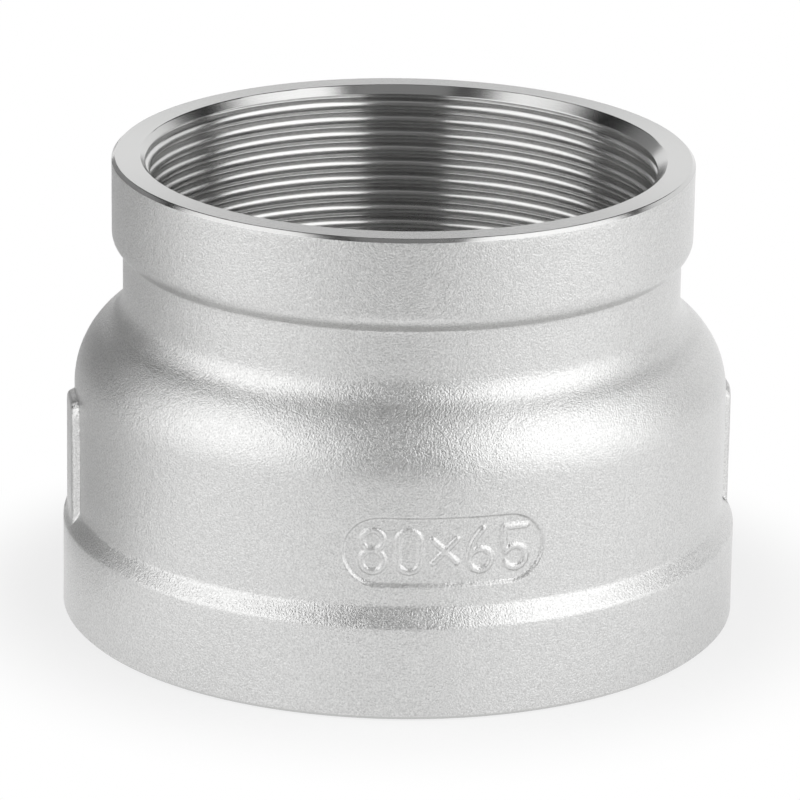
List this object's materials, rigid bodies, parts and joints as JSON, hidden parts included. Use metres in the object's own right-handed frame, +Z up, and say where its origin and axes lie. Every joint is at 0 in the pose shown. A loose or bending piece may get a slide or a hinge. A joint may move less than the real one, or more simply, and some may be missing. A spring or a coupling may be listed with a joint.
{
  "type": "reducing socket",
  "caption": "Round threaded pipe fitting that joins a larger pipe to a smaller one in line, with a banded end, a domed shoulder and side ribs.",
  "frame": {"origin": "middle of the large end's face, which the fitting stands on", "axes": "+Z up along the bore towards the small end; the two ribs lie along X; the size mark faces -Y"},
  "size_m": [0.0978, 0.0978, 0.0675],
  "materials": {
    "cast_stainless_steel": "shot-blasted casting, turned ends and bores"
  },
  "bodies": {
    "root": {"reducer_body": "cast_stainless_steel"}
  },
  "joints": []
}
